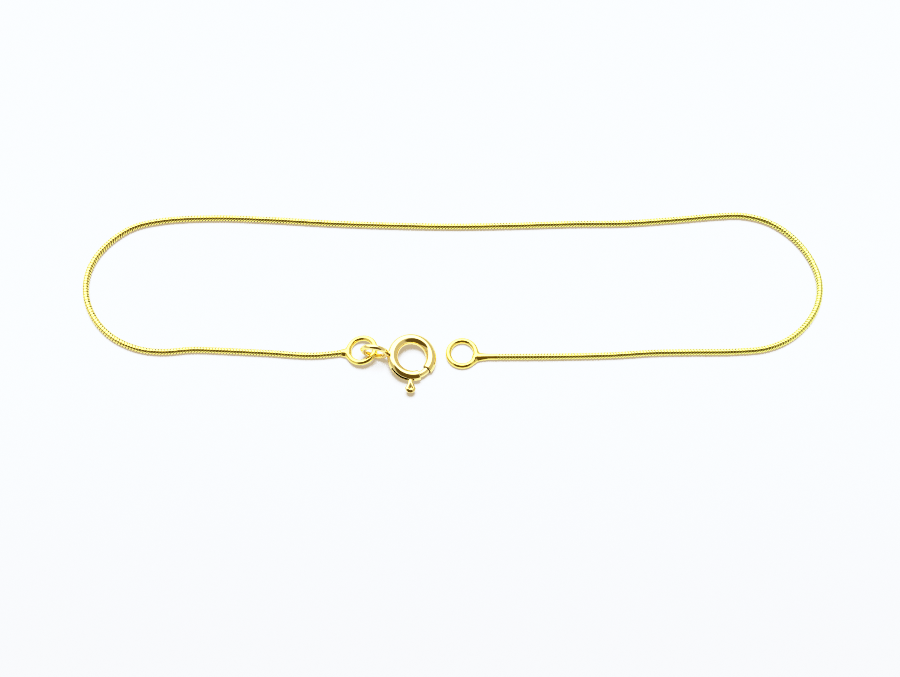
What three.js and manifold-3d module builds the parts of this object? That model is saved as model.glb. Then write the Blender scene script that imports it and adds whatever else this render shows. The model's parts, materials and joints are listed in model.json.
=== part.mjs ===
// Fine snake chain bracelet with a spring ring clasp, unfastened and laid flat in a long loop.
// Millimetres, +Z up. The origin lies on the surface under the bracelet, at the middle of its box.
import * as THREE from "three";
import { mergeVertices } from "three/addons/utils/BufferGeometryUtils.js";
import Module from "manifold-3d";

const wasm = await Module();
wasm.setup();

// Chain: a round snake chain, too fine to model link by link, as one tube along its route
const CHAIN_DIAMETER = 0.75;
const CHAIN_SIDES = 8;
const CHAIN_STEPS = 80;
const CHAIN_HEIGHT = CHAIN_DIAMETER / 2;
// x and y of the route, from the end that carries the clasp, clockwise round the loop, to the free end
const CHAIN_ROUTE = [
  [-12.06, -6.35],
  [-15.6, -6.68],
  [-20.6, -6.37],
  [-25.6, -6.1],
  [-28.9, -5.98],
  [-32.5, -6.24],
  [-35.2, -5.86],
  [-37.9, -4.6],
  [-40.0, -2.55],
  [-41.3, 0.1],
  [-41.55, 2.7],
  [-40.9, 5.1],
  [-39.3, 7.4],
  [-36.7, 9.35],
  [-33.4, 10.22],
  [-27.6, 10.58],
  [-21.1, 10.36],
  [-14.2, 9.92],
  [-7.3, 9.65],
  [-0.3, 9.5],
  [6.6, 9.6],
  [13.5, 9.82],
  [20.0, 9.92],
  [25.6, 10.35],
  [30.8, 10.84],
  [33.4, 10.88],
  [36.2, 10.12],
  [38.7, 8.35],
  [40.6, 5.75],
  [41.56, 2.7],
  [41.25, -0.1],
  [39.9, -2.6],
  [37.7, -4.65],
  [35.0, -5.83],
  [31.5, -6.2],
  [26.5, -6.27],
  [22.2, -6.36],
  [17.6, -6.65],
  [11.0, -6.8],
  [4.72, -6.84],
];

// End rings: closed round wire rings, each soldered to one end of the chain
const END_RING = { outer: 3.7, wire: 0.64 };
const SOLDER_GAP = 0.06;

// The free end's ring lies flat, and a long smooth tip with a flared foot joins it below its middle
const FREE_RING = { x: 1.05, y: -6.42, z: 0.34 };
const TIP_DIAMETER = 0.72;
const FOOT = { from: -0.15, to: 0.7, wide: 1.2, narrow: 0.66, thickness: 0.56 };

// The other ring is lifted where it hangs in the clasp's tail ring, and twists with the chain.
// A bead of solder joins it to the chain
const LINK_RING = { x: -10.13, y: -6.2, z: 0.715, twist: -5, lift: -13 };
const BEAD_DIAMETER = 0.76;
const BEAD_ANGLE = 184;

// Clasp: a hollow ring with a gap, a spring bolt that closes it, and a soldered tail ring
const CLASP = { x: -4.54, y: -7.18, z: 0.97, roll: 4, lift: 8.6 };
const CLASP_OUTER = 5.5;
const CLASP_TUBE = 1.2;
const CLASP_WALL = 0.17;
const CLASP_RADIUS = (CLASP_OUTER - CLASP_TUBE) / 2;
const GAP_FROM = -68;
const GAP_TO = -38;
const TAIL_RING = { outer: 3.25, wire: 0.6, angle: 173.5, yaw: -2.5, sunk: 0.18 };

// Bolt: a curved rod inside the ring, and the lever that pulls it back along a slot.
// The slot and the lever lie a little above the ring's middle plane
const BOLT_DIAMETER = 0.74;
const BOLT_FROM = -112;
const BOLT_TO = -30;
const BOLT_TRAVEL = 48;
const LEVER_ANGLE = -92.3;
const LEVER_REACH = 4.22;
const LEVER_WIDTH = 1.2;
const LEVER_THICKNESS = 0.5;
const NECK_WIDTH = 0.5;
const NECK_THICKNESS = 0.22;
const SLOT_WIDTH = 0.34;
const SLOT_HEIGHT = 0.15;
const SLOT_MARGIN = 7;
const LEVER_CLEARANCE = 0.1;

// Facets
const RING_SEGMENTS = 40;
const WIRE_SEGMENTS = 10;
const CLASP_SEGMENTS = 48;
const TUBE_SEGMENTS = 16;
const BOLT_SEGMENTS = 12;
const ARC_SEGMENTS = 10;

const GOLD = { color: 0xe3bd45, metalness: 1.0 };

const radians = THREE.MathUtils.degToRad;

function solidFrom(geometry) {
  const bare = geometry.clone();
  bare.deleteAttribute("normal");
  bare.deleteAttribute("uv");
  const merged = mergeVertices(bare, 1e-5);
  return new wasm.Manifold(
    new wasm.Mesh({
      numProp: 3,
      vertProperties: merged.attributes.position.array,
      triVerts: new Uint32Array(merged.index.array),
    }),
  );
}

function geometryFrom(solid) {
  const mesh = solid.getMesh();
  const geometry = new THREE.BufferGeometry();
  geometry.setAttribute("position", new THREE.BufferAttribute(mesh.vertProperties, 3));
  geometry.setIndex(new THREE.BufferAttribute(mesh.triVerts, 1));
  geometry.computeVertexNormals();
  return geometry;
}

function torus(radius, wireRadius, wireSegments, ringSegments) {
  return solidFrom(new THREE.TorusGeometry(radius, wireRadius, wireSegments, ringSegments));
}

// A flat plate of an outline in the XY plane, centred on that plane
function plate(outline, thickness) {
  const geometry = new THREE.ExtrudeGeometry(outline, {
    depth: thickness,
    bevelEnabled: false,
    curveSegments: ARC_SEGMENTS,
  });
  return geometry.translate(0, 0, -thickness / 2);
}

// The part of a flat ring between two radii and two angles in degrees
function sector(innerRadius, outerRadius, fromAngle, toAngle, thickness) {
  const outline = new THREE.Shape();
  outline.absarc(0, 0, outerRadius, radians(fromAngle), radians(toAngle), false);
  outline.absarc(0, 0, innerRadius, radians(toAngle), radians(fromAngle), true);
  outline.closePath();
  return solidFrom(plate(outline, thickness));
}

// A block that takes in all of the clasp's tube between two angles
function acrossTube(fromAngle, toAngle) {
  return sector(CLASP_RADIUS - CLASP_TUBE, CLASP_RADIUS + CLASP_TUBE, fromAngle, toAngle, 2 * CLASP_TUBE);
}

function snakeChain() {
  const points = CHAIN_ROUTE.map(([x, y]) => new THREE.Vector3(x, y, CHAIN_HEIGHT));
  const route = new THREE.CatmullRomCurve3(points, false, "centripetal");
  route.arcLengthDivisions = CHAIN_STEPS * 10;
  const halfSide = Math.PI / CHAIN_SIDES;
  const cornerRadius = CHAIN_DIAMETER / 2 / Math.cos(halfSide);
  const corners = Array.from({ length: CHAIN_SIDES }, (_, i) => {
    const angle = halfSide * (2 * i + 1);
    return new THREE.Vector2(Math.cos(angle), Math.sin(angle)).multiplyScalar(cornerRadius);
  });
  return new THREE.ExtrudeGeometry(new THREE.Shape(corners), {
    steps: CHAIN_STEPS,
    extrudePath: route,
  });
}

function endRing() {
  const wireRadius = END_RING.wire / 2;
  return torus(END_RING.outer / 2 - wireRadius, wireRadius, WIRE_SEGMENTS, RING_SEGMENTS);
}

// The free end's tip runs straight along the chain's last stretch from the middle of the ring's wire
function freeEndRing() {
  const [chainX, chainY] = CHAIN_ROUTE.at(-1);
  const ringRadius = (END_RING.outer - END_RING.wire) / 2;
  const offset = chainY - FREE_RING.y;
  const start = Math.sqrt(ringRadius ** 2 - offset ** 2);
  const length = chainX - SOLDER_GAP - FREE_RING.x - start;
  const rod = new THREE.CylinderGeometry(TIP_DIAMETER / 2, TIP_DIAMETER / 2, length, BOLT_SEGMENTS);
  rod.rotateZ(Math.PI / 2).translate(start + length / 2, offset, CHAIN_HEIGHT - FREE_RING.z);

  const footOutline = new THREE.Shape();
  footOutline.moveTo(FOOT.from, -FOOT.wide / 2);
  footOutline.lineTo(FOOT.to, -FOOT.narrow / 2);
  footOutline.lineTo(FOOT.to, FOOT.narrow / 2);
  footOutline.lineTo(FOOT.from, FOOT.wide / 2);
  footOutline.closePath();
  const foot = plate(footOutline, FOOT.thickness).translate(start, offset, 0);
  return geometryFrom(endRing().add(solidFrom(rod)).add(solidFrom(foot)));
}

// The clasp end's ring, with the bead that the chain is soldered to
function linkRing() {
  const ringRadius = (END_RING.outer - END_RING.wire) / 2;
  const bead = new THREE.SphereGeometry(BEAD_DIAMETER / 2, BOLT_SEGMENTS, WIRE_SEGMENTS);
  bead.translate(ringRadius, 0, 0).rotateZ(radians(BEAD_ANGLE));
  return geometryFrom(endRing().add(solidFrom(bead)));
}

// The hollow ring, open at the gap and along the lever's slot, with its tail ring standing across it
function claspRing() {
  const tubeRadius = CLASP_TUBE / 2;
  const shell = torus(CLASP_RADIUS, tubeRadius, TUBE_SEGMENTS, CLASP_SEGMENTS);
  const bore = torus(CLASP_RADIUS, tubeRadius - CLASP_WALL, TUBE_SEGMENTS, CLASP_SEGMENTS);
  const gap = acrossTube(GAP_FROM, GAP_TO);
  const slotFrom = LEVER_ANGLE - BOLT_TRAVEL - SLOT_MARGIN;
  const slotTo = LEVER_ANGLE + SLOT_MARGIN;
  const flatSlot = sector(CLASP_RADIUS, CLASP_RADIUS + CLASP_TUBE, slotFrom, slotTo, SLOT_WIDTH);
  const slot = flatSlot.translate([0, 0, SLOT_HEIGHT]);

  const wireRadius = TAIL_RING.wire / 2;
  const tailDistance = (CLASP_OUTER + TAIL_RING.outer) / 2 - TAIL_RING.sunk;
  const tailShape = new THREE.TorusGeometry(
    TAIL_RING.outer / 2 - wireRadius,
    wireRadius,
    WIRE_SEGMENTS,
    RING_SEGMENTS,
  );
  tailShape.rotateX(Math.PI / 2).rotateZ(radians(TAIL_RING.yaw));
  tailShape.translate(tailDistance, 0, 0).rotateZ(radians(TAIL_RING.angle));
  const tail = solidFrom(tailShape);
  return geometryFrom(shell.add(tail).subtract(bore).subtract(gap).subtract(slot));
}

// The lever in its own frame, pointing along +X away from the clasp's middle: a thin neck and a drop
function lever() {
  const headFrom = CLASP_OUTER / 2 + LEVER_CLEARANCE;
  const headRadius = LEVER_WIDTH / 2;
  const headMiddle = LEVER_REACH - headRadius;
  const shoulder = Math.acos(headRadius / (headMiddle - headFrom + headRadius));

  const neckOutline = new THREE.Shape();
  neckOutline.moveTo(CLASP_RADIUS, -NECK_WIDTH / 2);
  neckOutline.lineTo(headMiddle, -NECK_WIDTH / 2);
  neckOutline.lineTo(headMiddle, NECK_WIDTH / 2);
  neckOutline.lineTo(CLASP_RADIUS, NECK_WIDTH / 2);
  neckOutline.closePath();

  const headOutline = new THREE.Shape();
  headOutline.moveTo(headFrom, NECK_WIDTH / 2);
  headOutline.lineTo(headFrom, -NECK_WIDTH / 2);
  headOutline.absarc(headMiddle, 0, headRadius, shoulder - Math.PI, Math.PI - shoulder, false);
  headOutline.closePath();

  const neck = solidFrom(plate(neckOutline, NECK_THICKNESS));
  const head = solidFrom(plate(headOutline, LEVER_THICKNESS));
  return neck.add(head).translate([0, 0, SLOT_HEIGHT]).rotate([0, 0, LEVER_ANGLE]);
}

function claspBolt() {
  const rod = torus(CLASP_RADIUS, BOLT_DIAMETER / 2, BOLT_SEGMENTS, CLASP_SEGMENTS);
  return geometryFrom(rod.intersect(acrossTube(BOLT_FROM, BOLT_TO)).add(lever()));
}

function piece(name, geometry, roughness) {
  const mesh = new THREE.Mesh(geometry, new THREE.MeshStandardMaterial({ ...GOLD, roughness }));
  mesh.name = name;
  return mesh;
}

const bracelet = new THREE.Group();
bracelet.add(piece("snake_chain", snakeChain(), 0.3));

const freeRing = piece("free_end_ring", freeEndRing(), 0.15);
freeRing.position.copy(FREE_RING);
bracelet.add(freeRing);

const claspLink = piece("link_ring", linkRing(), 0.15);
claspLink.position.copy(LINK_RING);
claspLink.rotation.set(radians(LINK_RING.twist), radians(LINK_RING.lift), 0);
bracelet.add(claspLink);

const clasp = new THREE.Group();
clasp.position.copy(CLASP);
clasp.rotation.set(radians(CLASP.roll), radians(CLASP.lift), 0);
clasp.add(piece("clasp_ring", claspRing(), 0.12));
clasp.add(piece("clasp_bolt", claspBolt(), 0.12));
bracelet.add(clasp);

export default bracelet;
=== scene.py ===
import json
import math

import bpy
import numpy as np
from bpy.props import FloatProperty, FloatVectorProperty, IntProperty, PointerProperty
from mathutils import Matrix, Vector


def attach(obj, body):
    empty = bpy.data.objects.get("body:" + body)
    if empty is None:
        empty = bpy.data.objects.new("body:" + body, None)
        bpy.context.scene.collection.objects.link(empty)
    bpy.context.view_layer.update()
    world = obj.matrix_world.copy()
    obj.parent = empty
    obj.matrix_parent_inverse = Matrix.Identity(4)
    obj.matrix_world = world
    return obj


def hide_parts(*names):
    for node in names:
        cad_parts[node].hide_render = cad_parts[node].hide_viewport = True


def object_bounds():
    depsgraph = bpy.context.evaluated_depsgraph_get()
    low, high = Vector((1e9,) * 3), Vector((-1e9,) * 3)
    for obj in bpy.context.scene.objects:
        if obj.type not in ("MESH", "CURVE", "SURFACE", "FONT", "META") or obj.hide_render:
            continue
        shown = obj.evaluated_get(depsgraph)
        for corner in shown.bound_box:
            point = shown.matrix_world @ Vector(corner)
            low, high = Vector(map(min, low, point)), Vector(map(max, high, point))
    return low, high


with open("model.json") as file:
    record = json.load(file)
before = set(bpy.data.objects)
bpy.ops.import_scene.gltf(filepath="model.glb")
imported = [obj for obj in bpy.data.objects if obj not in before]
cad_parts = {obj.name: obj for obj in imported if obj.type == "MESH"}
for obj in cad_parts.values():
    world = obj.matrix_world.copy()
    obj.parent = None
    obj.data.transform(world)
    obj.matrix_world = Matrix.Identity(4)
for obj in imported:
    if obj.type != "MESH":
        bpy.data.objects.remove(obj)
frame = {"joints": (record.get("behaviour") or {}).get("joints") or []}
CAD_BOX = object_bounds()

bl_info = {
    "name": "Snake Chain Bracelet",
    "version": (1, 0, 0),
    "blender": (4, 5, 0),
    "location": "3D View > Sidebar > Bracelet",
    "description": "Makes a fine snake chain bracelet with a spring ring clasp, and a stage for it",
    "category": "Add Mesh",
}

MM = 0.001
CHAIN_BODY = "bracelet"
BOLT_BODY = "bolt"

# x and y of the chain's route, in metres, from the end that carries the clasp to the free end
CHAIN_ROUTE = (
    (-0.01206, -0.00635), (-0.0156, -0.00668), (-0.0206, -0.00637), (-0.0256, -0.0061),
    (-0.0289, -0.00598), (-0.0325, -0.00624), (-0.0352, -0.00586), (-0.0379, -0.0046),
    (-0.04, -0.00255), (-0.0413, 0.0001), (-0.04155, 0.0027), (-0.0409, 0.0051),
    (-0.0393, 0.0074), (-0.0367, 0.00935), (-0.0334, 0.01022), (-0.0276, 0.01058),
    (-0.0211, 0.01036), (-0.0142, 0.00992), (-0.0073, 0.00965), (-0.0003, 0.0095),
    (0.0066, 0.0096), (0.0135, 0.00982), (0.02, 0.00992), (0.0256, 0.01035),
    (0.0308, 0.01084), (0.0334, 0.01088), (0.0362, 0.01012), (0.0387, 0.00835),
    (0.0406, 0.00575), (0.04156, 0.0027), (0.04125, -0.0001), (0.0399, -0.0026),
    (0.0377, -0.00465), (0.035, -0.00583), (0.0315, -0.0062), (0.0265, -0.00627),
    (0.0222, -0.00636), (0.0176, -0.00665), (0.011, -0.0068), (0.00472, -0.00684),
)
ROUTE_SAMPLES = 40

# A link's outer face from edge to edge: place in half widths, and drop in crowns
LINK_FACE = np.array([(-1.0, 1.0), (-0.9, 0.35), (-0.75, 0.05), (0.75, 0.05), (0.9, 0.35), (1.0, 1.0)])
# How far a link's lip reaches past its face, in pitches, and back under it, in half widths
LIP_REACH = 0.4
LIP_BACK = 0.4

# Scene light and shown light along the picture's tone curve
TONE_CURVE = (
    (0.0, 0.0), (0.6, 0.6), (0.9, 0.84), (1.2, 0.93), (1.4, 0.955), (1.6, 0.985), (1.8, 1.0), (5.0, 1.0),
)
COMBINED_CURVE = 3

# Round patches of the room's light: the way to the middle, how much narrower along X, and the soft edge
WINDOW_PATCH = ((-0.25, 0.6, 0.76), 1.0, math.radians(36.0), math.radians(46.0))
DARK_PATCH = ((0.0, -0.777, 0.629), 1.7, math.radians(50.0), math.radians(58.0))

# The camera's near end, and the width in pixels of the filter that keeps the links crisp
CLIP_START = 0.01
PIXEL_FILTER = 1.0

# Grids that the smooth solids are meshed on, and the rounds that pull a mesh onto its surface and even it
RING_CELL = 0.045 * MM
CLASP_CELL = 0.05 * MM
BOLT_CELL = 0.035 * MM
FIRST_PULLS = 4
SMOOTH_ROUNDS = 3
SMOOTH_PULLS = 2
PROBE = 2e-7
LEAST_SLOPE = 0.05

# Widths of the rounded edges and fillets
TIP_EDGE = 0.06 * MM
GROUND_EDGE = 0.05 * MM
BORE_EDGE = 0.03 * MM
GAP_EDGE = 0.08 * MM
SLOT_EDGE = 0.05 * MM
ROD_END = 0.2 * MM
LEVER_FILLET = 0.08 * MM
LEVER_ROOT = 0.05 * MM
DISH_EDGE = 0.06 * MM

# The lever's drop starts outside the clasp, at this share of the neck's width. The hollow in it is cut
# by a tapered rod, with its height and radius at the neck and at the drop
NECK_OUT = 0.2 * MM
DROP_START = 0.8
DISH_HEIGHTS = (0.28 * MM, 0.23 * MM)
DISH_RADII = (0.12 * MM, 0.25 * MM)

# Depth of the soft waves in each metal surface as a share of their height, and of the fine rub marks
CHAIN_WAVES = 0.1
RING_WAVES = 0.25
CLASP_WAVES = 0.2
BOLT_WAVES = 0.15
RUB_MARKS = 0.3
WAVE_HEIGHT = 0.02 * MM
RUB_HEIGHT = 0.002 * MM

# Noise features to a metre, and the part of the noise's range that is used
PATCH_SCALE = 900.0
POLISH_SCALE = 2600.0
WAVE_SCALE = 1500.0
RUB_SCALE = 9000.0
CLOUD_SCALE = 6.0
NOISE_FROM, NOISE_TO = 0.3, 0.7

# Shares of the gold's colour in its darker patches, and of its roughness where it is most and least polished
PATCH_GOLD = (0.96, 0.93, 0.82)
POLISH_FROM, POLISH_TO = 0.7, 1.4
INSIDE_ROUGHNESS = 0.45

# Shares of the clasp's wall between which the bright outside turns into the painted shade of the hollow
# inside
BORE_SHADE_FROM, BORE_SHADE_TO = 0.4, 0.6

# The floor's faint clouds, and where and how far painted shade dims it towards the camera
CLOUD_SHADE = 0.995
FADE_FROM, FADE_TO = -40 * MM, -8 * MM
FADE_SHADE = 0.84

# Name of the attribute that holds how deep each point of the clasp lies inside its tube
DEPTH = "depth"

# The bolt's hinge gives the clasp's middle and its axis
HINGE = next(joint for joint in frame["joints"] if joint["name"] == "bolt_pull")
CLASP_MIDDLE = Vector(HINGE["pos_m"])
CLASP_AXIS = -Vector(HINGE["axis"])


def length(name, description, millimetres):
    """A length in the sidebar, in metres, with its default given in millimetres"""
    return FloatProperty(name=name, description=description, default=millimetres * MM, min=0.0,
                         unit="LENGTH", precision=6)


def place(name, description, millimetres):
    """A position in the sidebar, in metres, with its default given in millimetres"""
    return FloatVectorProperty(name=name, description=description, subtype="TRANSLATION", unit="LENGTH",
                               default=[value * MM for value in millimetres], precision=6)


def turn(name, description, degrees):
    """An angle in the sidebar, with its default given in degrees"""
    return FloatProperty(name=name, description=description, default=math.radians(degrees), subtype="ANGLE")


def colour(name, description, red, green, blue):
    """A colour in the sidebar"""
    return FloatVectorProperty(name=name, description=description, subtype="COLOR", size=3, min=0.0, max=1.0,
                               default=(red, green, blue))


def share(name, description, default):
    """A number from 0 to 1 in the sidebar"""
    return FloatProperty(name=name, description=description, default=default, min=0.0, max=1.0,
                         subtype="FACTOR")


class BRACELET_PG_chain(bpy.types.PropertyGroup):
    """Sizes and finish of the snake chain"""

    diameter: length("Diameter", "Across the round chain", 0.745)
    pitch: length("Pitch", "From one link to the next", 0.333)
    gap: length("Gap", "Between two links along the line where they lie closest", 0.015)
    side_gap: length("Side gap", "Between two links a quarter turn from that line", 0.15)
    crown: length("Crown", "Drop from the middle of a link's face to its edges along that line", 0.012)
    side_crown: length("Side crown", "Drop to the edges a quarter turn from it", 0.07)
    bow: length("Bow", "How far each link bows forwards and back around the chain", 0.11)
    # The lips are coloured with the inside colour below, a painted shade between the links
    lip: length("Lip", "How deep the dull lips between the links lie", 0.075)
    sides: IntProperty(name="Sides", description="Steps around each link", default=22, min=8, max=48)
    gold: colour("Gold", "Colour of the links at the chain's left bend", 0.92, 0.72, 0.16)
    lemon: colour("Lemon gold", "Colour of the links at the chain's right bend", 0.87, 0.77, 0.15)
    # Painted shade: the inside colour darkens the lips between the links, where shade falls deep between them
    inside: colour("Inside", "Colour of the dull metal between the links", 0.09, 0.058, 0.015)
    roughness: share("Roughness", "Roughness of the links", 0.15)


class BRACELET_PG_rings(bpy.types.PropertyGroup):
    """Sizes and finish of the two end rings"""

    outer: length("Outer diameter", "Across each closed ring", 3.7)
    wire: length("Wire", "Thickness of the ring's wire", 0.64)
    solder: length("Solder", "How far the solder fillet spreads", 0.2)
    tip: length("Tip", "Thickness of the soldered tips", 0.72)
    sunk: length("Sunk", "How far a tip runs into the chain's end", 0.3)
    foot: length("Foot", "Width of the flare where a tip meets its ring", 1.3)
    foot_length: length("Foot length", "How far the flare runs along the tip", 0.9)
    free_middle: place("Free ring", "Middle of the free end's ring", (1.05, -6.42, 0.34))
    link_middle: place("Link ring", "Middle of the ring that carries the clasp", (-10.13, -6.2, 0.715))
    link_twist: turn("Link ring twist", "Turn of the link ring about the chain", -5.0)
    link_lift: turn("Link ring lift", "Tilt of the link ring towards the clasp", -13.0)
    gold: colour("Gold", "Colour of the rings", 0.92, 0.69, 0.14)
    roughness: share("Roughness", "Roughness of the rings", 0.08)


class BRACELET_PG_clasp(bpy.types.PropertyGroup):
    """Sizes and finish of the spring ring clasp"""

    outer: length("Outer diameter", "Across the clasp's ring", 5.5)
    tube: length("Tube", "Thickness of the ring's tube", 1.2)
    wall: length("Wall", "Wall of the hollow tube", 0.17)
    gap_from: turn("Gap from", "Where the ring's gap begins, seen from above", -68.0)
    gap_to: turn("Gap to", "Where the ring's gap ends", -38.0)
    slot: length("Slot", "Width of the lever's slot", 0.34)
    slot_height: length("Slot height", "Height of the slot and the lever above the ring's middle plane", 0.15)
    slot_margin: turn("Slot margin", "Room in the slot beyond the lever at each end of its way", 7.0)
    tail_outer: length("Tail ring", "Across the soldered tail ring", 3.25)
    tail_wire: length("Tail wire", "Thickness of the tail ring's wire", 0.6)
    tail_angle: turn("Tail angle", "Where the tail ring joins the clasp", 173.5)
    tail_yaw: turn("Tail yaw", "Turn of the tail ring away from the clasp's middle", -2.5)
    tail_sunk: length("Tail sunk", "How far the tail ring sinks into the tube", 0.18)
    solder: length("Solder", "How far the solder fillet spreads", 0.12)
    gold: colour("Gold", "Colour of the clasp", 0.94, 0.71, 0.23)
    # Painted shade: the inside colour darkens the tube's hollow, where shade falls
    inside: colour("Inside", "Colour of the dull metal inside the hollow tube", 0.1, 0.06, 0.02)
    roughness: share("Roughness", "Roughness of the clasp", 0.08)


class BRACELET_PG_bolt(bpy.types.PropertyGroup):
    """Sizes of the sliding bolt and its lever"""

    rod: length("Rod", "Thickness of the curved rod", 0.74)
    rod_from: turn("Rod from", "Where the rod's hidden end lies", -112.0)
    rod_to: turn("Rod to", "Where the rod's tip lies", -30.0)
    lever_angle: turn("Lever angle", "Where the lever stands when the clasp is shut", -92.3)
    lever_reach: length("Lever reach", "From the clasp's middle to the lever's end", 4.22)
    lever_width: length("Lever width", "Across the lever's drop", 1.2)
    lever_thickness: length("Lever thickness", "Through the lever's drop", 0.5)
    neck_width: length("Neck width", "Across the lever's neck", 0.5)
    neck_thickness: length("Neck thickness", "Through the lever's neck", 0.22)


class BRACELET_PG_stage(bpy.types.PropertyGroup):
    """Floor, light and camera"""

    floor_size: length("Floor", "Side of the square floor", 4000.0)
    floor: colour("Floor colour", "Colour of the pale surface", 0.76, 0.76, 0.76)
    glow: colour("Glow", "Warm light of the surface's own, which fills the shadows", 0.54, 0.43, 0.26)
    look_at: place("Look at", "Point on the floor at the middle of the picture", (-0.31, -4.45, 0.0))
    distance: length("Distance", "From the camera to that point", 200.0)
    elevation: turn("Elevation", "Angle of the camera above the floor", 66.0)
    lens: FloatProperty(name="Lens", description="Focal length", default=71.4, subtype="DISTANCE_CAMERA")
    window: FloatProperty(name="Window", description="Brightness of the wide soft light behind", default=4.5)
    room: FloatProperty(name="Room", description="Brightness of the room around", default=0.7)
    dark: colour("Dark", "Light from the dark side behind the camera", 0.13, 0.09, 0.024)
    lamp: FloatProperty(name="Lamp", description="Strength of the lamp above", default=6.4)
    lamp_colour: colour("Lamp colour", "Colour of the lamp above", 0.6, 0.77, 1.0)
    lamp_height: turn("Lamp height", "Angle of the lamp above the floor, behind the bracelet", 75.0)
    lamp_spread: turn("Lamp spread", "Width of the lamp as the bracelet sees it", 30.0)


class BRACELET_PG_settings(bpy.types.PropertyGroup):
    """All the bracelet's settings"""

    chain: PointerProperty(type=BRACELET_PG_chain)
    rings: PointerProperty(type=BRACELET_PG_rings)
    clasp: PointerProperty(type=BRACELET_PG_clasp)
    bolt: PointerProperty(type=BRACELET_PG_bolt)
    stage: PointerProperty(type=BRACELET_PG_stage)


# Solid fields: each takes points as rows and gives their distance from a surface, negative inside


def torus_field(points, ring_radius, wire_radius):
    """A ring of round wire in the XY plane"""
    x, y, z = points.T
    return np.hypot(np.hypot(x, y) - ring_radius, z) - wire_radius


def cone_field(points, start, end, start_radius, end_radius):
    """A round rod between two points, with round ends"""
    start, end = np.array(start), np.array(end)
    along = end - start
    part = np.clip((points - start) @ along / (along @ along), 0.0, 1.0)
    nearest = start + part[:, None] * along
    return np.linalg.norm(points - nearest, axis=1) - (start_radius + part * (end_radius - start_radius))


def half_field(points, on_plane, outward):
    """All the space behind a plane"""
    return (points - np.array(on_plane)) @ np.array(outward)


def wedge_field(points, from_angle, to_angle):
    """All the space between two angles about Z that are less than half a turn apart"""
    x, y = points[:, 0], points[:, 1]
    before = math.sin(from_angle) * x - math.cos(from_angle) * y
    after = math.cos(to_angle) * y - math.sin(to_angle) * x
    return np.maximum(before, after)


def join(a, b, blend):
    """Two solids as one, with a fillet"""
    mix = np.clip(0.5 + 0.5 * (b - a) / blend, 0.0, 1.0)
    return b + (a - b) * mix - blend * mix * (1.0 - mix)


def cut(a, b, blend):
    """The first solid without the second, with rounded edges"""
    return -join(-a, b, blend)


def common(a, b, blend):
    """What two solids share, with rounded edges"""
    return -join(-a, -b, blend)


def moved(points, matrix):
    """The points as they are in a frame that stands at the matrix"""
    inverse = np.array(matrix.inverted())
    return points @ inverse[:3, :3].T + inverse[:3, 3]


def pulled_on(points, field, rounds):
    """Points moved onto the field's zero surface"""
    for _ in range(rounds):
        value = field(points)
        rises = [field(points + PROBE * axis) - field(points - PROBE * axis) for axis in np.eye(3)]
        slope = np.stack(rises, 1) / (2 * PROBE)
        steepness = np.maximum((slope * slope).sum(1), LEAST_SLOPE)
        points = points - slope * (value / steepness)[:, None]
    return points


def smoothed(points, quads, rounds, field):
    """Points evened out over the surface and pulled back onto it"""
    edges = np.concatenate([quads[:, [i, (i + 1) % 4]] for i in range(4)])
    for _ in range(rounds):
        total = np.zeros_like(points)
        count = np.zeros(len(points))
        np.add.at(total, edges[:, 0], points[edges[:, 1]])
        np.add.at(count, edges[:, 0], 1.0)
        points = pulled_on(0.5 * points + 0.5 * total / count[:, None], field, SMOOTH_PULLS)
    return points


def field_mesh(name, field, low, high, cell):
    """A closed quad mesh over a field's zero surface inside a box"""
    axes = [np.arange(a - 2 * cell, b + 3 * cell, cell) for a, b in zip(low, high)]
    grid = np.stack(np.meshgrid(*axes, indexing="ij"), -1)
    inside = field(grid.reshape(-1, 3)).reshape(grid.shape[:3]) < 0.0
    counts = [n - 1 for n in inside.shape]
    filled = np.zeros(counts, int)
    for i in (0, 1):
        for j in (0, 1):
            for k in (0, 1):
                filled += inside[i:i + counts[0], j:j + counts[1], k:k + counts[2]]
    crossed = (filled > 0) & (filled < 8)
    number = np.full(counts, -1)
    number[crossed] = np.arange(crossed.sum())
    points = grid[:-1, :-1, :-1][crossed] + cell / 2

    quads = []
    for axis in range(3):
        across, up = (axis + 1) % 3, (axis + 2) % 3
        here = inside.take(range(counts[axis]), axis)
        there = inside.take(range(1, counts[axis] + 1), axis)
        for leaving in (True, False):
            at = np.argwhere((here != there) & (here == leaving))
            shift_across, shift_up = np.eye(3, dtype=int)[[across, up]]
            ring = [at - shift_across - shift_up, at - shift_up, at, at - shift_across]
            corners = np.stack([number[tuple(c.T)] for c in ring], 1)
            quads.append(corners if leaving else corners[:, ::-1])
    quads = np.concatenate(quads)
    points = smoothed(pulled_on(points, field, FIRST_PULLS), quads, SMOOTH_ROUNDS, field)
    mesh = bpy.data.meshes.new(name)
    mesh.from_pydata(points, [], quads.tolist())
    mesh.shade_smooth()
    return mesh


# Route of the chain


def hermite(at, start, end, start_slope, end_slope):
    """A cubic between two points with given slopes"""
    at = at[:, None]
    square, cube = at ** 2, at ** 3
    return ((2 * cube - 3 * square + 1) * start + (cube - 2 * square + at) * start_slope
            + (3 * square - 2 * cube) * end + (cube - square) * end_slope)


def smooth_route(points):
    """Dense points of a smooth curve through the route's points"""
    points = np.array(points)
    points = np.concatenate([[2 * points[0] - points[1]], points, [2 * points[-1] - points[-2]]])
    spans = np.sqrt(np.linalg.norm(np.diff(points, axis=0), axis=1))
    at = np.arange(ROUTE_SAMPLES) / ROUTE_SAMPLES
    pieces = []
    for i in range(1, len(points) - 2):
        a, b, c, d = points[i - 1:i + 3]
        before, span, after = spans[i - 1:i + 2]
        start_slope = (b - a) / before - (c - a) / (before + span) + (c - b) / span
        end_slope = (c - b) / span - (d - b) / (span + after) + (d - c) / after
        pieces.append(hermite(at, b, c, start_slope * span, end_slope * span))
    pieces.append(points[-2:-1])
    return np.concatenate(pieces)


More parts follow.
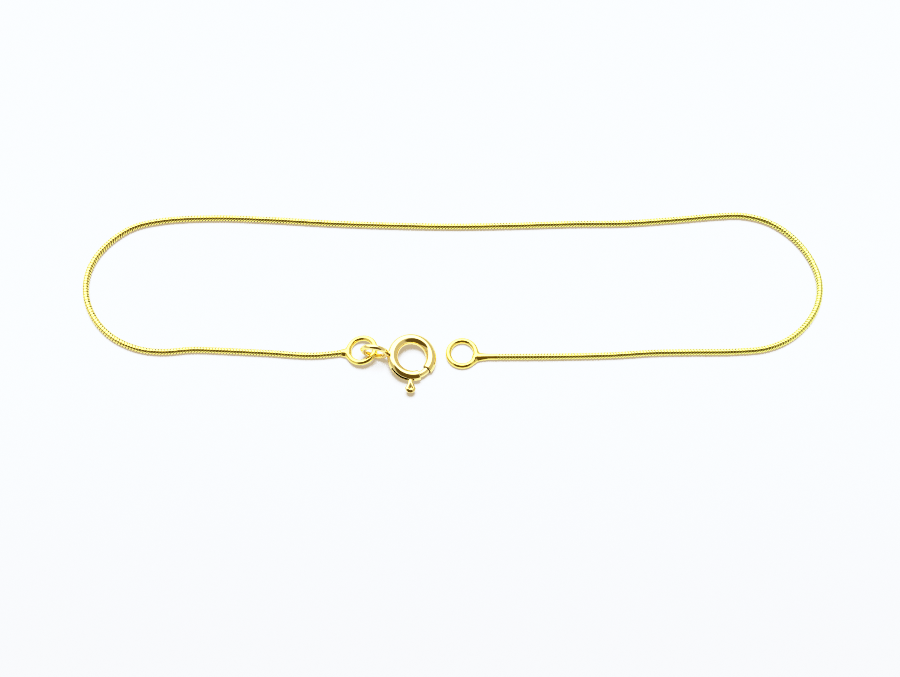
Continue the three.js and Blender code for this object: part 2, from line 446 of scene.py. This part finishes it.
class Route:
    """The chain's route by the distance along it"""

    def __init__(self, points):
        self.points = smooth_route(points)
        steps = np.linalg.norm(np.diff(self.points, axis=0), axis=1)
        self.distance = np.concatenate([[0.0], np.cumsum(steps)])
        self.length = self.distance[-1]
        self.slope = np.gradient(self.points, self.distance, axis=0)

    def at(self, distance):
        """Points, forward directions and sideways directions at the given distances"""
        point = np.stack([np.interp(distance, self.distance, c) for c in self.points.T], -1)
        slope = np.stack([np.interp(distance, self.distance, c) for c in self.slope.T], -1)
        slope /= np.linalg.norm(slope, axis=-1, keepdims=True)
        side = np.stack([-slope[..., 1], slope[..., 0]], -1)
        return point, slope, side


# Materials


def new_material(name):
    """An empty node material and its principled shader"""
    material = bpy.data.materials.new(name)
    material.use_nodes = True
    return material, material.node_tree, material.node_tree.nodes["Principled BSDF"]


def add_node(tree, kind, **inputs):
    """A node with some of its inputs set"""
    node = tree.nodes.new(kind)
    for name, value in inputs.items():
        node.inputs[name.replace("_", " ")].default_value = value
    return node


def gold_material(name, gold, roughness, wave):
    """Polished plated gold: uneven colour, a soft polish that comes and goes, and fine rub marks"""
    material, tree, shader = new_material(name)
    shader.inputs["Metallic"].default_value = 1.0
    link = tree.links.new
    where = tree.nodes.new("ShaderNodeTexCoord")

    patches = add_node(tree, "ShaderNodeTexNoise", Scale=PATCH_SCALE, Detail=3.0, Roughness=0.55)
    link(where.outputs["Object"], patches.inputs["Vector"])
    tint = tree.nodes.new("ShaderNodeValToRGB")
    tint.color_ramp.elements[0].position = NOISE_FROM
    tint.color_ramp.elements[1].position = NOISE_TO
    tint.color_ramp.elements[0].color = (*(value * part for value, part in zip(gold, PATCH_GOLD)), 1.0)
    tint.color_ramp.elements[1].color = (*gold, 1.0)
    link(patches.outputs["Fac"], tint.inputs["Fac"])
    link(tint.outputs["Color"], shader.inputs["Base Color"])

    polish = add_node(tree, "ShaderNodeTexNoise", Scale=POLISH_SCALE, Detail=4.0, Roughness=0.6)
    link(where.outputs["Object"], polish.inputs["Vector"])
    sheen = add_node(tree, "ShaderNodeMapRange", From_Min=NOISE_FROM, From_Max=NOISE_TO,
                     To_Min=roughness * POLISH_FROM, To_Max=roughness * POLISH_TO)
    link(polish.outputs["Fac"], sheen.inputs["Value"])
    link(sheen.outputs["Result"], shader.inputs["Roughness"])

    waves = add_node(tree, "ShaderNodeTexNoise", Scale=WAVE_SCALE, Detail=1.0)
    link(where.outputs["Object"], waves.inputs["Vector"])
    rubs = add_node(tree, "ShaderNodeTexNoise", Scale=RUB_SCALE, Detail=3.0, Roughness=0.7, Distortion=1.5)
    link(where.outputs["Object"], rubs.inputs["Vector"])
    soft = add_node(tree, "ShaderNodeBump", Strength=wave, Distance=WAVE_HEIGHT)
    link(waves.outputs["Fac"], soft.inputs["Height"])
    fine = add_node(tree, "ShaderNodeBump", Strength=RUB_MARKS, Distance=RUB_HEIGHT)
    link(rubs.outputs["Fac"], fine.inputs["Height"])
    link(soft.outputs["Normal"], fine.inputs["Normal"])
    link(fine.outputs["Normal"], shader.inputs["Normal"])
    return material


def mix_in(material, amount, other):
    """Mix another colour into a metal's own by the amount that a node gives"""
    tree = material.node_tree
    base = tree.nodes["Principled BSDF"].inputs["Base Color"]
    mix = tree.nodes.new("ShaderNodeMixRGB")
    mix.inputs["Color2"].default_value = (*other, 1.0)
    tree.links.new(amount, mix.inputs["Fac"])
    tree.links.new(base.links[0].from_socket, mix.inputs["Color1"])
    tree.links.new(mix.outputs["Color"], base)


def shifting_gold(material, other, reach):
    """Gold that shifts to another gold from one end of an object's X axis to the other"""
    tree = material.node_tree
    where = tree.nodes.new("ShaderNodeTexCoord")
    axes = tree.nodes.new("ShaderNodeSeparateXYZ")
    tree.links.new(where.outputs["Object"], axes.inputs["Vector"])
    across = add_node(tree, "ShaderNodeMapRange", From_Min=-reach, From_Max=reach)
    tree.links.new(axes.outputs["X"], across.inputs["Value"])
    mix_in(material, across.outputs["Result"], other)


def painted_bore_shade(material, dull, wall):
    """Painted shade: a dark colour wherever a mesh lies deeper than the middle of its wall, in the hollow
    where shade falls
    """
    tree = material.node_tree
    depth = tree.nodes.new("ShaderNodeAttribute")
    depth.attribute_name = DEPTH
    within = add_node(tree, "ShaderNodeMapRange", From_Min=BORE_SHADE_FROM * wall, From_Max=BORE_SHADE_TO * wall)
    tree.links.new(depth.outputs["Fac"], within.inputs["Value"])
    mix_in(material, within.outputs["Result"], dull)


def floor_material(name, pale, glow):
    """A pale surface with a faint unevenness, a painted glow of its own that fills its shadows with warm
    light, and painted shade that dims it towards the camera
    """
    material, tree, shader = new_material(name)
    where = tree.nodes.new("ShaderNodeTexCoord")
    clouds = add_node(tree, "ShaderNodeTexNoise", Scale=CLOUD_SCALE, Detail=2.0)
    tree.links.new(where.outputs["Object"], clouds.inputs["Vector"])
    tint = tree.nodes.new("ShaderNodeValToRGB")
    tint.color_ramp.elements[0].color = (*(value * CLOUD_SHADE for value in pale), 1.0)
    tint.color_ramp.elements[1].color = (*pale, 1.0)
    tree.links.new(clouds.outputs["Fac"], tint.inputs["Fac"])
    axes = tree.nodes.new("ShaderNodeSeparateXYZ")
    tree.links.new(where.outputs["Object"], axes.inputs["Vector"])
    # Painted shade: the floor darkens towards the camera, as if less light fell there
    fade = add_node(tree, "ShaderNodeMapRange", From_Min=FADE_FROM, From_Max=FADE_TO,
                    To_Min=FADE_SHADE, To_Max=1.0)
    tree.links.new(axes.outputs["Y"], fade.inputs["Value"])
    dim = tree.nodes.new("ShaderNodeMixRGB")
    dim.blend_type = "MULTIPLY"
    dim.inputs["Fac"].default_value = 1.0
    tree.links.new(tint.outputs["Color"], dim.inputs["Color1"])
    tree.links.new(fade.outputs["Result"], dim.inputs["Color2"])
    tree.links.new(dim.outputs["Color"], shader.inputs["Base Color"])
    shader.inputs["Specular IOR Level"].default_value = 0.0
    # Painted glow: the floor gives off warm light of its own, which sets its shadows' colour in place of
    # light bounced off the gold
    shader.inputs["Emission Color"].default_value = (*glow, 1.0)
    shader.inputs["Emission Strength"].default_value = 1.0
    return material


# Placing


def new_piece(name, mesh, materials, body, node):
    """A finished piece in the scene that stands for a CAD node"""
    for material in materials:
        mesh.materials.append(material)
    piece = bpy.data.objects.new(name, mesh)
    bpy.context.scene.collection.objects.link(piece)
    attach(piece, body)
    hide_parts(node)
    return piece


def clasp_matrix():
    """The clasp's own frame, with its axis along Z and its lift and roll as the hinge has them"""
    lift = math.asin(CLASP_AXIS.x)
    roll = math.atan2(-CLASP_AXIS.y, CLASP_AXIS.z)
    return Matrix.Translation(CLASP_MIDDLE) @ Matrix.Rotation(roll, 4, "X") @ Matrix.Rotation(lift, 4, "Y")


class BRACELET_OT_chain(bpy.types.Operator):
    """Make the snake chain, link by link, along its route"""

    bl_idname = "bracelet.chain"
    bl_label = "Snake Chain"

    def execute(self, context):
        chain = context.scene.bracelet.chain
        route = Route(CHAIN_ROUTE)
        radius = chain.diameter / 2
        count = int((route.length - chain.pitch) / chain.pitch) + 1
        middle = chain.pitch * np.arange(count)
        middle += (route.length - middle[-1]) / 2
        around = 2 * np.pi * np.arange(chain.sides) / chain.sides

        # The links lie closest and bow furthest, towards +X, along the line that faces the camera
        ahead = route.at(middle)[1][:, :1]
        elevation = context.scene.bracelet.stage.elevation
        turned = around - np.arctan2(math.sin(elevation), -math.cos(elevation) * ahead)
        opened = np.sin(turned) ** 2
        bow = chain.bow * ahead * np.cos(2 * turned)
        half = (chain.pitch - chain.gap - opened * (chain.side_gap - chain.gap)) / 2
        crown = chain.crown + opened * (chain.side_crown - chain.crown)

        # Each link is a bowed band: a rounded outer face, and a lip that tucks inside the next link
        along = half[..., None] * LINK_FACE[:, 0]
        drop = crown[..., None] * LINK_FACE[:, 1]
        along = np.concatenate([along, np.stack([half + LIP_REACH * chain.pitch, -LIP_BACK * half], -1)], -1)
        lip = np.full(half.shape, chain.lip)
        drop = np.concatenate([drop, np.stack([lip, 2 * lip], -1)], -1)
        rim = along.shape[-1]

        along = middle[:, None, None] + bow[:, :, None] + along
        out = radius - drop
        point, _, side = route.at(np.clip(along, 0.0, route.length))
        sideways = np.cos(around)[None, :, None] * out
        points = np.zeros(along.shape + (3,))
        points[..., :2] = point + side * sideways[..., None]
        points[..., 2] = radius + np.sin(around)[None, :, None] * out

        link, step, corner = np.indices((count, chain.sides, rim))

        def number(steps, corners):
            return (link * chain.sides + steps % chain.sides) * rim + corners % rim

        quads = np.stack([number(step, corner), number(step + 1, corner),
                          number(step + 1, corner + 1), number(step, corner + 1)], -1)
        mesh = bpy.data.meshes.new("snake_chain_links")
        mesh.from_pydata(points.reshape(-1, 3), [], quads.reshape(-1, 4).tolist())
        mesh.shade_smooth()
        materials = [gold_material("chain_gold", chain.gold, chain.roughness, CHAIN_WAVES),
                     gold_material("chain_gap_shade", chain.inside, INSIDE_ROUGHNESS, CHAIN_WAVES)]
        shifting_gold(materials[0], chain.lemon, CAD_BOX[1][0])
        new_piece("snake_chain_links", mesh, materials, CHAIN_BODY, "snake_chain")
        # The lips past each link's face take the second material, the painted shade between the links
        mesh.polygons.foreach_set("material_index", (corner >= len(LINK_FACE) - 1).astype(np.int32).ravel())
        return {"FINISHED"}


class BRACELET_OT_end_rings(bpy.types.Operator):
    """Make the closed ring at each end of the chain, with its solder"""

    bl_idname = "bracelet.end_rings"
    bl_label = "End Rings"

    def execute(self, context):
        settings = context.scene.bracelet
        rings = settings.rings
        material = gold_material("ring_gold", rings.gold, rings.roughness, RING_WAVES)
        free = Matrix.Translation(rings.free_middle)
        self.ring(settings, "free_end_ring_soldered", "free_end_ring", free, CHAIN_ROUTE[-1], material)
        link = Matrix.Translation(rings.link_middle)
        link = link @ Matrix.Rotation(rings.link_twist, 4, "X") @ Matrix.Rotation(rings.link_lift, 4, "Y")
        self.ring(settings, "link_ring_soldered", "link_ring", link, CHAIN_ROUTE[0], material)
        return {"FINISHED"}

    @staticmethod
    def ring(settings, name, node, matrix, chain_end, material):
        """One ring, joined to the chain's end by a tapered tip"""
        rings = settings.rings
        wire = rings.wire / 2
        middle = rings.outer / 2 - wire
        end = matrix.inverted() @ Vector((chain_end[0], chain_end[1], settings.chain.diameter / 2))
        inward = -1.0 if end.x > 0 else 1.0
        start_x = -inward * math.sqrt(middle ** 2 - end.y ** 2)
        start = np.array((start_x, end.y, 0.0))
        end = np.array(end)
        along = (end - start) / np.linalg.norm(end - start)

        foot_end = start + along * rings.foot_length
        flatten = np.array((1.0, 1.0, rings.foot / rings.wire))
        ground = matrix.inverted() @ Vector((matrix.translation.x, matrix.translation.y, 0.0))
        down = matrix.inverted().to_3x3() @ Vector((0, 0, -1))

        def field(points):
            ring = torus_field(points, middle, wire)
            tip = cone_field(points, start, end + along * rings.tip, rings.tip / 2, rings.tip / 2)
            tip = cut(tip, -half_field(points, end + along * rings.sunk, along), TIP_EDGE)
            foot = cone_field(points * flatten, start, foot_end * flatten, rings.foot / 2, rings.tip / 2)
            foot = np.maximum(foot * rings.wire / rings.foot, -half_field(points, start, along))
            solid = join(ring, join(tip, foot, rings.solder), rings.solder)
            return common(solid, half_field(points, ground, down), GROUND_EDGE)

        low = np.minimum((-rings.outer / 2, -rings.outer / 2, -rings.tip / 2), end - rings.tip)
        high = np.maximum((rings.outer / 2, rings.outer / 2, rings.tip / 2), end + rings.tip)
        mesh = field_mesh(name, field, low, high, RING_CELL)
        mesh.transform(matrix)
        return new_piece(name, mesh, [material], CHAIN_BODY, node)


class BRACELET_OT_clasp(bpy.types.Operator):
    """Make the hollow spring ring with its gap, slot and tail ring"""

    bl_idname = "bracelet.clasp"
    bl_label = "Clasp Ring"

    def execute(self, context):
        clasp = context.scene.bracelet.clasp
        bolt = context.scene.bracelet.bolt
        tube = clasp.tube / 2
        ring = clasp.outer / 2 - tube
        travel = math.radians(HINGE["range_deg"][1])
        slot_from = bolt.lever_angle - travel - clasp.slot_margin
        slot_to = bolt.lever_angle + clasp.slot_margin
        tail_wire = clasp.tail_wire / 2
        tail_distance = (clasp.outer + clasp.tail_outer) / 2 - clasp.tail_sunk
        tail = (Matrix.Rotation(clasp.tail_angle, 4, "Z") @ Matrix.Translation((tail_distance, 0, 0))
                @ Matrix.Rotation(clasp.tail_yaw, 4, "Z") @ Matrix.Rotation(math.pi / 2, 4, "X"))

        def field(points):
            hoop = torus_field(moved(points, tail), clasp.tail_outer / 2 - tail_wire, tail_wire)
            solid = join(torus_field(points, ring, tube), hoop, clasp.solder)
            solid = cut(solid, torus_field(points, ring, tube - clasp.wall), BORE_EDGE)
            solid = cut(solid, wedge_field(points, clasp.gap_from, clasp.gap_to), GAP_EDGE)
            slot = np.abs(points[:, 2] - clasp.slot_height) - clasp.slot / 2
            slot = np.maximum(slot, ring - np.hypot(points[:, 0], points[:, 1]))
            slot = np.maximum(slot, wedge_field(points, slot_from, slot_to))
            return cut(solid, slot, SLOT_EDGE)

        reach = tail_distance + clasp.tail_outer / 2
        low = (-reach, -clasp.outer / 2, -clasp.tail_outer / 2)
        high = (clasp.outer / 2, clasp.outer / 2, clasp.tail_outer / 2)
        mesh = field_mesh("clasp_ring_shell", field, low, high, CLASP_CELL)
        points = np.zeros(3 * len(mesh.vertices), np.float32)
        mesh.vertices.foreach_get("co", points)
        depth = -torus_field(points.reshape(-1, 3), ring, tube)
        mesh.attributes.new(DEPTH, "FLOAT", "POINT").data.foreach_set("value", depth.astype(np.float32))
        mesh.transform(clasp_matrix())
        material = gold_material("clasp_gold", clasp.gold, clasp.roughness, CLASP_WAVES)
        painted_bore_shade(material, clasp.inside, clasp.wall)
        new_piece("clasp_ring_shell", mesh, [material], CHAIN_BODY, "clasp_ring")
        return {"FINISHED"}


class BRACELET_OT_bolt(bpy.types.Operator):
    """Make the curved bolt and its lever"""

    bl_idname = "bracelet.bolt"
    bl_label = "Clasp Bolt"

    def execute(self, context):
        clasp = context.scene.bracelet.clasp
        bolt = context.scene.bracelet.bolt
        ring = (clasp.outer - clasp.tube) / 2
        lever = Matrix.Translation((0, 0, clasp.slot_height)) @ Matrix.Rotation(bolt.lever_angle, 4, "Z")
        neck = bolt.neck_width / 2
        drop = bolt.lever_width / 2
        drop_middle = bolt.lever_reach - drop
        neck_end = clasp.outer / 2 + NECK_OUT
        dish_from = (neck_end, 0, DISH_HEIGHTS[0])
        dish_to = (drop_middle, 0, DISH_HEIGHTS[1])

        def field(points):
            rod = torus_field(points, ring, bolt.rod / 2)
            rod = common(rod, wedge_field(points, bolt.rod_from, bolt.rod_to), ROD_END)
            local = moved(points, lever)
            flat = local * np.array((1, 1, bolt.lever_width / bolt.lever_thickness))
            head = cone_field(flat, (neck_end, 0, 0), (drop_middle, 0, 0), DROP_START * neck, drop)
            head *= bolt.lever_thickness / bolt.lever_width
            flat = local * np.array((1, 1, bolt.neck_width / bolt.neck_thickness))
            stem = cone_field(flat, (ring, 0, 0), (drop_middle, 0, 0), neck, neck)
            stem *= bolt.neck_thickness / bolt.neck_width
            dish = cone_field(local, dish_from, dish_to, *DISH_RADII)
            whole = cut(join(stem, head, LEVER_FILLET), dish, DISH_EDGE)
            return join(rod, whole, LEVER_ROOT)

        reach = bolt.lever_reach
        low = (-ring, -reach, -clasp.tube / 2)
        high = (clasp.outer / 2, 0, clasp.tube / 2)
        mesh = field_mesh("clasp_bolt_lever", field, low, high, BOLT_CELL)
        mesh.transform(clasp_matrix())
        material = gold_material("bolt_gold", clasp.gold, clasp.roughness, BOLT_WAVES)
        new_piece("clasp_bolt_lever", mesh, [material], BOLT_BODY, "clasp_bolt")
        return {"FINISHED"}


class BRACELET_OT_stage(bpy.types.Operator):
    """Make the pale floor, the soft light and the camera"""

    bl_idname = "bracelet.stage"
    bl_label = "Stage"

    def execute(self, context):
        stage = context.scene.bracelet.stage
        self.floor(context.scene, stage)
        self.light(context.scene, stage)
        self.camera(context.scene, stage)
        return {"FINISHED"}

    @staticmethod
    def floor(scene, stage):
        """The surface that the bracelet lies on"""
        half = stage.floor_size / 2
        mesh = bpy.data.meshes.new("floor")
        corners = [(-half, -half, 0), (half, -half, 0), (half, half, 0), (-half, half, 0)]
        mesh.from_pydata(corners, [], [(0, 1, 2, 3)])
        mesh.materials.append(floor_material("floor_pale", stage.floor, stage.glow))
        floor = bpy.data.objects.new("floor", mesh)
        scene.collection.objects.link(floor)

    @staticmethod
    def light(scene, stage):
        """A lamp above, and a pale room with a wide soft light behind and a dark side behind the camera"""
        world = bpy.data.worlds.new("soft_room")
        world.use_nodes = True
        tree = world.node_tree
        where = tree.nodes.new("ShaderNodeTexCoord")
        background = tree.nodes["Background"]
        light = None
        patches = ((WINDOW_PATCH, [stage.window] * 3), (DARK_PATCH, stage.dark))
        for (towards, squeeze, inner, outer), brightness in patches:
            narrow = tree.nodes.new("ShaderNodeVectorMath")
            narrow.operation = "MULTIPLY"
            narrow.inputs[1].default_value = (squeeze, 1.0, 1.0)
            tree.links.new(where.outputs["Generated"], narrow.inputs[0])
            even = tree.nodes.new("ShaderNodeVectorMath")
            even.operation = "NORMALIZE"
            tree.links.new(narrow.outputs["Vector"], even.inputs[0])
            facing = tree.nodes.new("ShaderNodeVectorMath")
            facing.operation = "DOT_PRODUCT"
            facing.inputs[1].default_value = towards
            tree.links.new(even.outputs["Vector"], facing.inputs[0])
            patch = add_node(tree, "ShaderNodeMapRange", From_Min=math.cos(outer), From_Max=math.cos(inner))
            patch.interpolation_type = "SMOOTHSTEP"
            tree.links.new(facing.outputs["Value"], patch.inputs["Value"])
            mix = tree.nodes.new("ShaderNodeMixRGB")
            mix.inputs["Color1"].default_value = (stage.room, stage.room, stage.room, 1.0)
            mix.inputs["Color2"].default_value = (*brightness, 1.0)
            tree.links.new(patch.outputs["Result"], mix.inputs["Fac"])
            if light:
                tree.links.new(light, mix.inputs["Color1"])
            light = mix.outputs["Color"]
        tree.links.new(light, background.inputs["Color"])
        scene.world = world
        world.cycles_visibility.diffuse = False

        lamp = bpy.data.lights.new("lamp_above", "SUN")
        lamp.energy = stage.lamp
        lamp.color = stage.lamp_colour
        lamp.angle = stage.lamp_spread
        above = bpy.data.objects.new("lamp_above", lamp)
        direction = Vector((0, math.cos(stage.lamp_height), math.sin(stage.lamp_height)))
        above.rotation_euler = direction.to_track_quat("Z", "Y").to_euler()
        above.visible_glossy = False
        scene.collection.objects.link(above)

    @staticmethod
    def camera(scene, stage):
        """The camera at the picture's angle"""
        data = bpy.data.cameras.new("camera")
        data.lens = stage.lens
        data.clip_start = CLIP_START
        camera = bpy.data.objects.new("camera", data)
        target = Vector(stage.look_at)
        back = Vector((0, -math.cos(stage.elevation), math.sin(stage.elevation)))
        camera.location = target + stage.distance * back
        camera.rotation_euler = back.to_track_quat("Z", "Y").to_euler()
        scene.collection.objects.link(camera)
        scene.camera = camera
        # The links are only a few pixels long, and smoothing noise away would smear them
        scene.cycles.use_denoising = False
        scene.cycles.caustics_reflective = False
        scene.cycles.filter_width = PIXEL_FILTER
        # A soft shoulder, so the white surface and the brightest gold burn out gently
        view = scene.view_settings
        view.view_transform = "Standard"
        view.use_curve_mapping = True
        tone = view.curve_mapping
        tone.clip_max_x, tone.clip_max_y = TONE_CURVE[-1]
        curve = tone.curves[COMBINED_CURVE]
        curve.points[0].location = TONE_CURVE[0]
        curve.points[1].location = TONE_CURVE[-1]
        for light_in, light_out in TONE_CURVE[1:-1]:
            curve.points.new(light_in, light_out)
        tone.update()


class BRACELET_PT_panel(bpy.types.Panel):
    """The bracelet's settings and makers"""

    bl_idname = "BRACELET_PT_panel"
    bl_label = "Snake Chain Bracelet"
    bl_space_type = "VIEW_3D"
    bl_region_type = "UI"
    bl_category = "Bracelet"

    def draw(self, context):
        settings = context.scene.bracelet
        for group, operators in MAKERS:
            box = self.layout.box()
            values = getattr(settings, group)
            for name in values.__annotations__:
                box.prop(values, name)
            for operator in operators:
                box.operator(operator.bl_idname)


MAKERS = (
    ("stage", (BRACELET_OT_stage,)),
    ("chain", (BRACELET_OT_chain,)),
    ("rings", (BRACELET_OT_end_rings,)),
    ("clasp", (BRACELET_OT_clasp,)),
    ("bolt", (BRACELET_OT_bolt,)),
)
CLASSES = (
    BRACELET_PG_chain, BRACELET_PG_rings, BRACELET_PG_clasp, BRACELET_PG_bolt, BRACELET_PG_stage,
    BRACELET_PG_settings, BRACELET_OT_chain, BRACELET_OT_end_rings, BRACELET_OT_clasp, BRACELET_OT_bolt,
    BRACELET_OT_stage, BRACELET_PT_panel,
)


def register():
    for item in CLASSES:
        bpy.utils.register_class(item)
    bpy.types.Scene.bracelet = PointerProperty(type=BRACELET_PG_settings)


def unregister():
    del bpy.types.Scene.bracelet
    for item in reversed(CLASSES):
        bpy.utils.unregister_class(item)


def main():
    register()
    bpy.ops.bracelet.stage()
    bpy.ops.bracelet.chain()
    bpy.ops.bracelet.end_rings()
    bpy.ops.bracelet.clasp()
    bpy.ops.bracelet.bolt()


if __name__ == "__main__":
    main()
